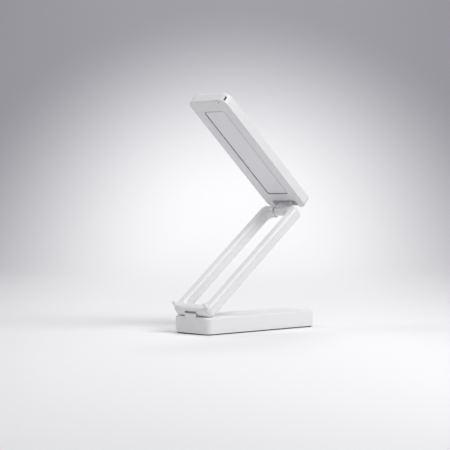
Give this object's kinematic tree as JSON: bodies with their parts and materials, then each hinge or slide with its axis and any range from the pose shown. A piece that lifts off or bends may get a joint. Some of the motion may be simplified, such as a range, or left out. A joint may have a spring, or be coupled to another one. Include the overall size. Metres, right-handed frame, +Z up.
{
  "type": "folding desk lamp",
  "caption": "Folding desk lamp with a flat base, an open loop arm with ledge hooks, and a slab head with a light window, joined by two friction hinges.",
  "frame": {"origin": "centre of the anti-slip pad's face that the lamp rests on", "axes": "+X along the base from the hinge end to the free end, +Y across the width, +Z up"},
  "size_m": [0.1887, 0.063, 0.2826],
  "materials": {
    "white_shell": "satin moulded ABS",
    "white_bezel": "satin moulded ABS",
    "rubber_pad": "matt silicone",
    "screw_steel": "zinc plated",
    "ballast_steel": "rolled steel plate",
    "foam_tape": "closed-cell foam",
    "battery_film": "shrink film over the cell",
    "circuit_board": "solder mask",
    "socket_steel": "plated sheet steel",
    "cable_sheath": "PVC sheath",
    "pin_steel": "ground steel tube",
    "washer_nylon": "nylon",
    "opal_diffuser": "opal acrylic, satin face",
    "clear_guide": "clear acrylic",
    "white_film": "white PET film",
    "strip_board": "white solder mask",
    "led_phosphor": "phosphor dome",
    "black_plastic": "matt black",
    "smoked_lens": "smoked acrylic",
    "button_grey": "matt dark grey"
  },
  "bodies": {
    "base": {"base_shell": "white_shell", "base_tray": "white_shell", "anti_slip_pad": "rubber_pad", "base_screws": "screw_steel", "ballast_plate": "ballast_steel", "battery_tape": "foam_tape", "battery_pack": "battery_film", "charging_board": "circuit_board", "charging_socket": "socket_steel"},
    "arm": {"arm_rear": "white_shell", "arm_front": "white_shell", "arm_screws": "screw_steel", "arm_cable": "cable_sheath", "lower_hinge_pin": "pin_steel", "upper_hinge_pin": "pin_steel", "lower_washers": "washer_nylon", "upper_washers": "washer_nylon"},
    "head": {"head_shell": "white_shell", "head_bezel": "white_bezel", "diffuser": "opal_diffuser", "light_guide": "clear_guide", "reflector_sheet": "white_film", "led_strip": "strip_board", "led_chips": "led_phosphor", "hinge_neck": "white_shell", "neck_screws": "screw_steel", "switch_board": "circuit_board", "push_switch": "black_plastic", "indicator_lens": "smoked_lens"},
    "button": {"power_button": "button_grey"}
  },
  "joints": [
    {"name": "arm_fold", "type": "hinge", "parent": "base", "child": "arm", "pos_m": [-0.0855, 0, 0.0279], "axis": [0, -1, 0], "range_deg": [-37.7, 52.3]},
    {"name": "head_fold", "type": "hinge", "parent": "arm", "child": "head", "pos_m": [0.06262, 0, 0.14238], "axis": [0, 1, 0], "range_deg": [-79, 101]},
    {"name": "button_press", "type": "slide", "parent": "head", "child": "button", "axis": [0.5494, 0.682, -0.4827], "range_m": [0, 0.0005], "stiffness_N_per_m": 1500, "springref_m": -0.0002}
  ]
}
